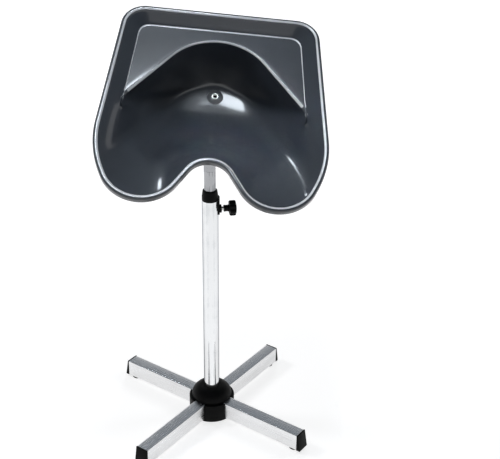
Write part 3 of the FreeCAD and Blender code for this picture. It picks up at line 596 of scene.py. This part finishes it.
def hole_ring(height):
    """Ring of the drain's hole, with its columns in step with the bowl's."""
    turns = np.linspace(-math.pi / 2, math.pi * 1.5, COLUMNS, endpoint=False)
    return np.column_stack([DRAIN_HOLE_R * np.cos(turns), DRAIN_V + DRAIN_HOLE_R * np.sin(turns),
                            np.full(COLUMNS, height)])


def basin_rings():
    """Every ring of the shell, from the skirt over the crest, down inside, back up outside, and the painted
    edge highlight.
    """
    rim = rim_circles()

    def lip(inset, depth):
        return loop(rim, -inset, -depth)

    skirt_out, skirt_in = lip(0, LIP_DROP), lip(LIP_WALL, LIP_DROP)
    crest_out, crest_in, bevel = lip(0, 0), lip(CREST_WIDTH, 0), lip(BEVEL_INSET, BEVEL_DEPTH)
    tray = loop(tray_circles(), 0, -TRAY_DEPTH)
    rings = corner_rings(skirt_in, skirt_out, crest_out, SKIRT_ROUND, 3)
    rings += between(skirt_out, crest_out, 2)
    rings += corner_rings(skirt_out, crest_out, crest_in, CREST_ROUND, 7)
    ridge = corner_rings(crest_out, crest_in, bevel, RIDGE_ROUND, 8)
    turn = corner_rings(crest_in, bevel, tray, TURN_ROUND, 4)
    # The ridge inside the rim gets a painted highlight all round.
    highlight_amount = [np.zeros(COLUMNS)] * len(rings) + [np.full(COLUMNS, w) for w in crest(len(ridge), 2.2)]
    highlight_amount += [np.zeros(COLUMNS)] * (len(turn) - 1)
    rings += ridge + turn[:-1]
    inside, inside_highlight = dished(turn[-1], 0, 0)
    rings += inside
    highlight_amount += inside_highlight
    rings += dished(lip(UNDER_INSET, UNDER_DEPTH), WALL, WALL)[0][::-1]
    gutter = [lip(5.2, 4.8), lip(4.2, 4.4), lip(3.6, 5.0)]
    rings += gutter + between(gutter[-1], skirt_in, 1)
    rings += corner_rings(gutter[-1], skirt_in, skirt_out, SKIRT_ROUND, 3)
    highlight_amount += [np.zeros(COLUMNS)] * (len(rings) - len(highlight_amount))
    return np.concatenate(rings), np.concatenate(highlight_amount)


basin_points, basin_highlight = basin_rings()
basin_mesh = [tuple(p) for p in basin_points], strips(len(basin_points) // COLUMNS, COLUMNS, 0, True)
basin = piece("basin_shell", basin_mesh, ABS, "basin", ["basin"], BASIN, 50)
# Painted highlight on the rounded edges, one value per vertex.
highlight_layer = basin.data.attributes.new("highlight_amount", "FLOAT", "POINT")
highlight_layer.data.foreach_set("value", basin_highlight)


# Seat for the bracket, grown up into the bowl's outer wall

def bracket_seat():
    half_x, half_y, corner, rise, bite = 44.0, 32.0, 6.0, 26.0, 1.2
    surface = BVHTree.FromPolygons([BASIN @ (Vector(p) * MM) for p in basin_mesh[0]], basin_mesh[1])
    up = (LEAN.to_3x3() @ Vector((0, 0, 1))).normalized()
    outline = rounded([(-half_x, -half_y), (half_x, -half_y), (half_x, half_y), (-half_x, half_y)], corner, 5)
    count = len(outline)
    under_shares = (0.15, 0.5, 0.85, 0.975)
    top_shares = (1.0, 0.985, 0.9, 0.75, 0.55, 0.35, 0.15)

    def top(x, y):
        start = LEAN @ Vector((x * MM, y * MM, BRACKET_TOP * MM))
        hit = surface.ray_cast(start, up)
        if hit[0] is None or hit[1].dot(up) > 0:
            return BRACKET_TOP + bite
        return BRACKET_TOP + min(hit[3] / MM + bite, rise)

    verts = [(p[0] * s, p[1] * s, BRACKET_TOP) for s in under_shares for p in outline]
    verts += [(p[0], p[1], BRACKET_TOP + 1.0) for p in outline]
    verts += [(p[0] * s, p[1] * s, top(p[0] * s, p[1] * s)) for s in top_shares for p in outline]
    rows = len(verts) // count
    faces = strips(rows, count) + [tuple(range(count)), tuple(range((rows - 1) * count, rows * count))]
    return verts, faces


piece("bracket_seat", bracket_seat(), ABS, "basin", ["basin"], LEAN)


def seat_screws():
    """Pan heads under the bracket's plate, each with the shank that crosses it."""
    head_r, shank_r, tip_r, place_x, place_y = 4.5, 2.5, 0.4, 32.0, 21.0
    plate = BRACKET_TOP - BRACKET_PLATE
    low, high = plate - 3, plate + 4.5
    profile = rounded([(tip_r, low), (head_r, low), (head_r, plate), (shank_r, plate), (shank_r, high),
                       (tip_r, high)], [0, 1.6, 0.2, 0.1, 0.6, 0], 4, False)
    screw = lathe(profile, 32, False)
    return merge(*(moved(screw, shift(x, y, 0)) for x in (-place_x, place_x) for y in (-place_y, place_y)))


piece("seat_screws", seat_screws(), ZINC, "basin", ["bracket_screws"], LEAN)


# Drain

def turned_piece(name, profile, radius, material, body, nodes, place, segments=64):
    return piece(name, lathe(rounded(profile, radius), segments), material, body, nodes, place)


# The dome and the ring sit on the visual floor, which rises a little
DRAIN_LIFT = 3.0
DRAIN_TOP = DRAIN @ shift(0, 0, DRAIN_LIFT) @ Matrix.Rotation(math.atan(SUMP_FALL), 4, "X")
turned_piece("drain_dome", [(6, 0), (18, 0), (18, 1.5), (12.6, 3.75), (8, 5), (6, 5)],
             [0.2, 0.3, 1.0, 6.0, 4.0, 0.3], DOME, "basin", ["drain_flange"], DRAIN_TOP, 80)
turned_piece("drain_ring", [(4.5, 0), (5.9, 0), (5.9, 5), (7, 5), (7, 6.5), (4.5, 6.5)],
             [0.2, 0.1, 0.1, 0.1, 1.0, 1.0], ZINC, "basin", ["drain_eyelet"], DRAIN_TOP)
turned_piece("outlet_gasket", [(11, -5.2), (17, -5.2), (17, -3.2), (11, -3.2)], 0.5,
             RUBBER, "basin", ["drain_gasket"], DRAIN)
turned_piece("outlet_spigot", [(7.5, 0), (10.9, 0), (10.9, -16.2), (10, -17.2), (10, -52), (7.5, -52)],
             [0.2, 0.2, 0.3, 0.3, 1.0, 0.5], BLACK, "basin", ["drain_spigot"], DRAIN)


def ribbed_nut(inner, outer, low, high, ribs):
    """Back nut with moulded grip ribs."""
    segments, edge, groove = ribs * 8, 0.8, 0.9
    rows = [(inner, low), (outer - edge, low), (outer, low + edge), (outer, high - edge),
            (outer - edge, high), (inner, high)]
    verts = []
    for k, (r, h) in enumerate(rows):
        for j in range(segments):
            a = 2 * math.pi * j / segments
            sink = groove * max(0.0, math.cos(ribs * a)) ** 2 if 0 < k < len(rows) - 1 else 0.0
            verts.append(((r - sink) * math.cos(a), (r - sink) * math.sin(a), h))
    return verts, strips(len(rows), segments, 0, True)


piece("outlet_nut", ribbed_nut(11, 17, -13.2, -5.2, 16), BLACK, "basin", ["drain_nut"],
      DRAIN)


# Pole

def slotted_tube():
    """Outer tube with the opening that the clamp's shoe moves in.

    The opening lies between rows 2 and 3 of the profile outside and rows 8 and 9 inside.
    """
    low, high, n, half, edge = CLAMP_Z - SHOE_HALF, CLAMP_Z + SHOE_HALF, 96, 5, 0.5
    outside = [(OUTER_R - edge, OUTER_LOW), (OUTER_R, OUTER_LOW + edge), (OUTER_R, low), (OUTER_R, high),
               (OUTER_R, OUTER_TOP - edge), (OUTER_R - edge, OUTER_TOP)]
    inside = [(OUTER_BORE_R + edge, OUTER_TOP), (OUTER_BORE_R, OUTER_TOP - edge), (OUTER_BORE_R, high),
              (OUTER_BORE_R, low), (OUTER_BORE_R, OUTER_LOW + edge), (OUTER_BORE_R + edge, OUTER_LOW)]
    profile = outside + inside
    verts, faces = lathe(profile, n)
    opening = [j % n for j in range(-half, half)]
    gone = {row * n + j for row in (2, 8) for j in opening}
    faces = [face for i, face in enumerate(faces) if i not in gone]
    for a, b in ((2, 9), (3, 8)):
        faces += [(a * n + j, a * n + (j + 1) % n, b * n + (j + 1) % n, b * n + j) for j in opening]
    faces += [(2 * n + j, 3 * n + j, 8 * n + j, 9 * n + j) for j in (n - half, half)]
    return verts, faces


piece("pole_outer", slotted_tube(), CHROME, "base", ["outer_tube"], BASE)
turned_piece("pole_inner", [(INNER_BORE_R, INNER_LOW), (INNER_R, INNER_LOW), (INNER_R, INNER_TOP),
                            (INNER_BORE_R, INNER_TOP)], 0.5,
             PAINTED_STREAK_CHROME, "mast", ["inner_tube"], Matrix.Identity(4), 96)


# Foot

def arm_tube():
    """Rectangular tube with rounded corners along local X, open at both ends."""
    def outline(inset, radius):
        y, low, high = ARM_HALF - inset, ARM_LOW + inset, ARM_TOP - inset
        return rounded([(-y, low), (y, low), (y, high), (-y, high)], radius, 5)

    rows = [(ARM_START, 1.5, 1.2), (ARM_START, 0.3, 2.2), (ARM_START + 0.3, 0, 2.4), (ARM_START + 60, 0, 2.4),
            (ARM_END - 60, 0, 2.4), (ARM_END - 0.3, 0, 2.4), (ARM_END, 0.3, 2.2), (ARM_END, 1.5, 1.2)]
    verts = [(x, p[0], p[1]) for x, inset, radius in rows for p in outline(inset, radius)]
    return verts, strips(len(rows), len(verts) // len(rows), 0, True)


def end_cap():
    """Wedge over the arm's end, with the plug that holds it in the tube."""
    half, top, plug_half = ARM_HALF + 0.4, ARM_TOP + 0.4, ARM_HALF - 1.6
    wedge = prism([(ARM_END, ARM_LOW), (ARM_END + 10, ARM_LOW), (ARM_END + 3, top), (ARM_END, top)],
                  -half, half)
    plug = box((ARM_END - 9, -plug_half, ARM_LOW + 1.6), (ARM_END + 0.6, plug_half, ARM_TOP - 1.6))
    return merge(bevelled(wedge, 1.1), bevelled(plug, 0.6, 2))


FOOT_PAD = lathe(rounded([(0.5, 0), (12, 0), (12, 6), (4, 6), (4, 12), (0.5, 12)],
                         [0, 1.2, 0.8, 0.3, 0.5, 0]), 48, False)
for i in range(4):
    spoke = BASE @ Matrix.Rotation(math.radians(45 + 90 * i), 4, "Z")
    number = str(i + 1)
    piece("arm_tube_" + number, arm_tube(), STEEL, "base", ["arm_" + number], spoke, 30, True)
    piece("arm_cap_" + number, end_cap(), BLACK, "base", ["end_cap_" + number], spoke)
    piece("foot_pad_" + number, FOOT_PAD, RUBBER, "base", ["foot_" + number],
          spoke @ shift(FOOT_REACH, 0, 0))


def hub_dome():
    """Domed cap over the arms' inner ends, with its own wall thickness."""
    low, edge, high, wide, neck, bore, wall = 46.0, 50.0, 73.5, 46.0, 22.0, 17.8, 3.0
    corner, fullness, steps = (44.0, 72.0), 0.82, 14
    arc = []
    for k in range(steps + 1):
        t = k / steps
        parts = ((1 - t) ** 2, 2 * t * (1 - t) * fullness, t * t)
        arc.append(tuple((parts[0] * a + parts[1] * b + parts[2] * c) / sum(parts)
                         for a, b, c in zip((wide, edge), corner, (neck, high))))
    profile = [(wide - 0.6, low), (wide, low + 0.6)] + arc + [(bore + 0.5, high), (bore, high - 0.5)]
    profile += [(bore, high - wall), (neck, high - 2 * wall), (wide - wall, low + 1), (wide - wall, low)]
    return lathe(profile, 96)


piece("hub_dome", hub_dome(), BLACK, "base", ["hub_cover"], BASE)


# Knobs

def star_knob(neck_r, head_r, stem_r, lobes, sink):
    """Scalloped knob about local Z: neck, flared shoulder, rounded grip and a shallow disc on its face.

    Each row is a radius, a height and the share of the scallop's depth there.
    """
    neck, head, bore_end = 11.5, 14.5, 18.7
    face = neck + head
    rows = [(stem_r, bore_end, 0), (stem_r, 0.4, 0), (stem_r + 0.4, 0, 0), (neck_r - 0.5, 0, 0),
            (neck_r, 0.5, 0), (neck_r - 0.6, neck * 0.45, 0), (neck_r - 0.3, neck * 0.8, 0),
            (neck_r + 0.8, neck - 0.3, 0), (head_r * 0.72, neck + 0.2, 0.15), (head_r - 2.4, neck + 0.4, 0.6),
            (head_r - 0.9, neck + 1.1, 0.9), (head_r - 0.15, neck + 2.6, 1), (head_r, neck + 4.5, 1),
            (head_r, face - 4.5, 1), (head_r - 0.2, face - 2.4, 1), (head_r - 1.0, face - 1.0, 0.9),
            (head_r - 2.6, face - 0.2, 0.6), (head_r * 0.70, face, 0.2), (head_r * 0.62, face, 0),
            (head_r * 0.60, face + 0.5, 0), (head_r * 0.56, face + 0.8, 0), (head_r * 0.3, face + 0.8, 0),
            (0.4, face + 0.8, 0)]
    segments = lobes * 14
    verts = []
    for r, h, cut in rows:
        for j in range(segments):
            a = 2 * math.pi * j / segments
            dip = cut * sink * max(0.0, math.cos(lobes * a) * 0.62 + 0.38) ** 1.3
            verts.append(((r - dip) * math.cos(a), (r - dip) * math.sin(a), h))
    faces = strips(len(rows), segments)
    faces += [tuple(range(segments)), tuple(range((len(rows) - 1) * segments, len(rows) * segments))]
    return verts, faces


KNOB_START, ANGLE_KNOB_START = 29, 18.7
piece("height_knob", star_knob(7.5, 17.0, 4.1, 7, 2.6), BLACK, "clamp_knob", ["clamp_knob"],
      BASE @ shift(KNOB_START, 0, CLAMP_Z) @ ALONG_X)
piece("angle_knob", star_knob(8.5, 11.5, 6.1, 5, 2.2), BLACK, "tilt_knob", ["tilt_knob"],
      LEAN @ shift(ANGLE_KNOB_START, 0, TILT_Z) @ ALONG_X)


# CAD nodes that stay, each with its finish

FINISH = {"black_plastic": BLACK, "head_steel": PAINT, "zinc_steel": ZINC, "guide_plastic": NYLON,
          "seal_rubber": RUBBER, "chrome_tube": PAINTED_STREAK_CHROME, "arm_steel": STEEL, "basin_shell": ABS}
SOFT_EDGES = {"height_collar": 0.5, "tilt_bracket": 0.5, "cross_block": 0.6, "pole_head": 0.6,
              "hub_core": 0.8}
slot_of = {s["node"]: s["material_slot"] for s in frame["record"]["subparts"]}
for name, node in frame["nodes"].items():
    if node.hide_render:
        continue
    node.data.materials.clear()
    node.data.materials.append(FINISH[slot_of[name]])
    if name in SOFT_EDGES:
        weld = node.modifiers.new("weld", "WELD")
        weld.merge_threshold = 1e-6
        edge = node.modifiers.new("edge", "BEVEL")
        edge.width = SOFT_EDGES[name] * MM
        edge.segments = 2
        edge.limit_method = "ANGLE"
        edge.angle_limit = math.radians(40)


# Stage, light and camera

# Own light of the floor for what the camera sees and for what metal mirrors; far off it comes to white
STAGE_GLOW, STAGE_MIRRORED, STAGE_FAR_GAIN = 0.75, 0.68, 1.32
STAGE_NEAR, STAGE_FAR = 1.2, 3.0


def floor_material():
    """Pale floor that keeps soft shadows; a share of its white is its own light."""
    material, tree, shader = new_material("pale_floor")
    tree.nodes.remove(shader)
    out = tree.nodes["Material Output"]
    path = tree.nodes.new("ShaderNodeLightPath")
    direct = plus(tree, path.outputs["Is Camera Ray"], path.outputs["Is Transmission Ray"])
    seen = plus(tree, spread(tree, direct, 0, 1, 0, STAGE_GLOW),
                spread(tree, path.outputs["Is Glossy Ray"], 0, 1, 0, STAGE_MIRRORED))
    reach = tree.nodes.new("ShaderNodeVectorMath")
    reach.operation = "LENGTH"
    link(tree, coords(tree), reach.inputs[0])
    gain = spread(tree, reach.outputs["Value"], STAGE_NEAR, STAGE_FAR, 1.0, STAGE_FAR_GAIN)
    glow = tree.nodes.new("ShaderNodeEmission")
    link(tree, maths(tree, "MULTIPLY", seen, gain), glow.inputs["Strength"])
    matte = tree.nodes.new("ShaderNodeBsdfDiffuse")
    link(tree, blend(tree, noise(tree, coords(tree), 2, 2), 0.2, 0.8, (0.42, 0.42, 0.42), (0.43, 0.43, 0.43)),
         matte.inputs["Color"])
    add = tree.nodes.new("ShaderNodeAddShader")
    link(tree, glow.outputs[0], add.inputs[0])
    link(tree, matte.outputs[0], add.inputs[1])
    link(tree, add.outputs[0], out.inputs["Surface"])
    return material


# In metres
STAGE_HALF, BACKDROP_R, BACKDROP_HEIGHT, BACKDROP_SIDES = 20, 18, 8.5, 96
floor_mesh = bpy.data.meshes.new("floor")
floor_mesh.from_pydata([(-STAGE_HALF, -STAGE_HALF, 0), (STAGE_HALF, -STAGE_HALF, 0),
                        (STAGE_HALF, STAGE_HALF, 0), (-STAGE_HALF, STAGE_HALF, 0)], [], [(0, 1, 2, 3)])
floor_mesh.materials.append(floor_material())
wall_mesh = bpy.data.meshes.new("backdrop")
wall_points = lathe([(BACKDROP_R, 0), (BACKDROP_R, BACKDROP_HEIGHT)], BACKDROP_SIDES, False)[0]
wall_mesh.from_pydata(wall_points, [], strips(2, BACKDROP_SIDES))
wall_mesh.materials.append(floor_mesh.materials[0])
for name, mesh in (("floor", floor_mesh), ("backdrop", wall_mesh)):
    stage = bpy.data.objects.new(name, mesh)
    bpy.context.scene.collection.objects.link(stage)

world = bpy.data.worlds.new("studio")
bpy.context.scene.world = world
world.use_nodes = True
sky = world.node_tree
direction = sky.nodes.new("ShaderNodeTexCoord")
turn = sky.nodes.new("ShaderNodeVectorRotate")
turn.rotation_type = "X_AXIS"
turn.inputs["Angle"].default_value = math.radians(30)
link(sky, direction.outputs["Generated"], turn.inputs["Vector"])
split = sky.nodes.new("ShaderNodeSeparateXYZ")
link(sky, turn.outputs["Vector"], split.inputs["Vector"])
shade = sky.nodes.new("ShaderNodeValToRGB")
shade.color_ramp.elements[0].color = (0.09, 0.10, 0.115, 1)
shade.color_ramp.elements[1].color = (0.20, 0.22, 0.245, 1)
for place, level in ((0.45, 0.13), (0.75, 0.20)):
    shade.color_ramp.elements.new(place).color = (level, level * 1.08, level * 1.18, 1)
link(sky, split.outputs["Z"], shade.inputs["Fac"])
link(sky, shade.outputs["Color"], sky.nodes["Background"].inputs["Color"])


DAYLIGHT = (0.84, 0.92, 1.0)


def softbox(name, at, towards, width, height, radiance, mirrored_in=True, beam=180.0, colour=(1.0, 1.0, 1.0)):
    """Rectangular lamp; a lamp that isn't mirrored in glossy surfaces only fills."""
    lamp = bpy.data.lights.new(name, "AREA")
    lamp.shape = "RECTANGLE"
    lamp.size, lamp.size_y = width, height
    lamp.energy = radiance * math.pi * width * height
    lamp.spread = math.radians(beam)
    lamp.color = colour
    obj = bpy.data.objects.new(name, lamp)
    obj.location = at
    obj.rotation_euler = (Vector(towards) - Vector(at)).to_track_quat("-Z", "Y").to_euler()
    bpy.context.scene.collection.objects.link(obj)
    obj.visible_glossy = mirrored_in


EYE = Vector((0.0574, -1.8679, 1.4039))
TARGET = Vector((0.0851, -0.0013, 0.4756))
ROLL = math.radians(0.63)
SENSOR, FOCAL_PIXELS, VIEW_PIXELS = 36.0, 972.14, 500.0

softbox("window", (-0.04, -0.245, 2.34), (0.055, 0.15, 0.70), 0.42, 0.37, 23.0, colour=DAYLIGHT)
softbox("over", (0.03, -0.10, 2.4), (0.065, 0.01, 0.70), 0.15, 0.10, 4.5, False, 13.0)
softbox("left", (-2.0, 0.5, 2.1), (0, 0, 0.6), 0.5, 0.5, 30, False)
softbox("right", (2.0, 0.6, 2.1), (0, 0, 0.6), 0.5, 0.5, 14, False)
softbox("rear", (0.5, 3.2, 2.4), (0, 0, 0.8), 0.9, 0.6, 18.0, False)
softbox("strip", (-0.82, 1.44, 2.41), (0.16, -0.04, 0.65), 0.12, 0.16, 26.0, colour=DAYLIGHT)

camera = bpy.data.cameras.new("camera")
camera.sensor_width = SENSOR
camera.lens = SENSOR * FOCAL_PIXELS / VIEW_PIXELS
camera_object = bpy.data.objects.new("camera", camera)
bpy.context.scene.collection.objects.link(camera_object)
back = (EYE - TARGET).normalized()
right0 = Vector((0, 0, 1)).cross(back).normalized()
up0 = back.cross(right0)
right = right0 * math.cos(ROLL) + up0 * math.sin(ROLL)
up = up0 * math.cos(ROLL) - right0 * math.sin(ROLL)
camera_object.matrix_world = Matrix(((right.x, up.x, back.x, EYE.x), (right.y, up.y, back.y, EYE.y),
                                     (right.z, up.z, back.z, EYE.z), (0, 0, 0, 1)))
bpy.context.scene.camera = camera_object
bpy.context.scene.view_settings.view_transform = "Standard"
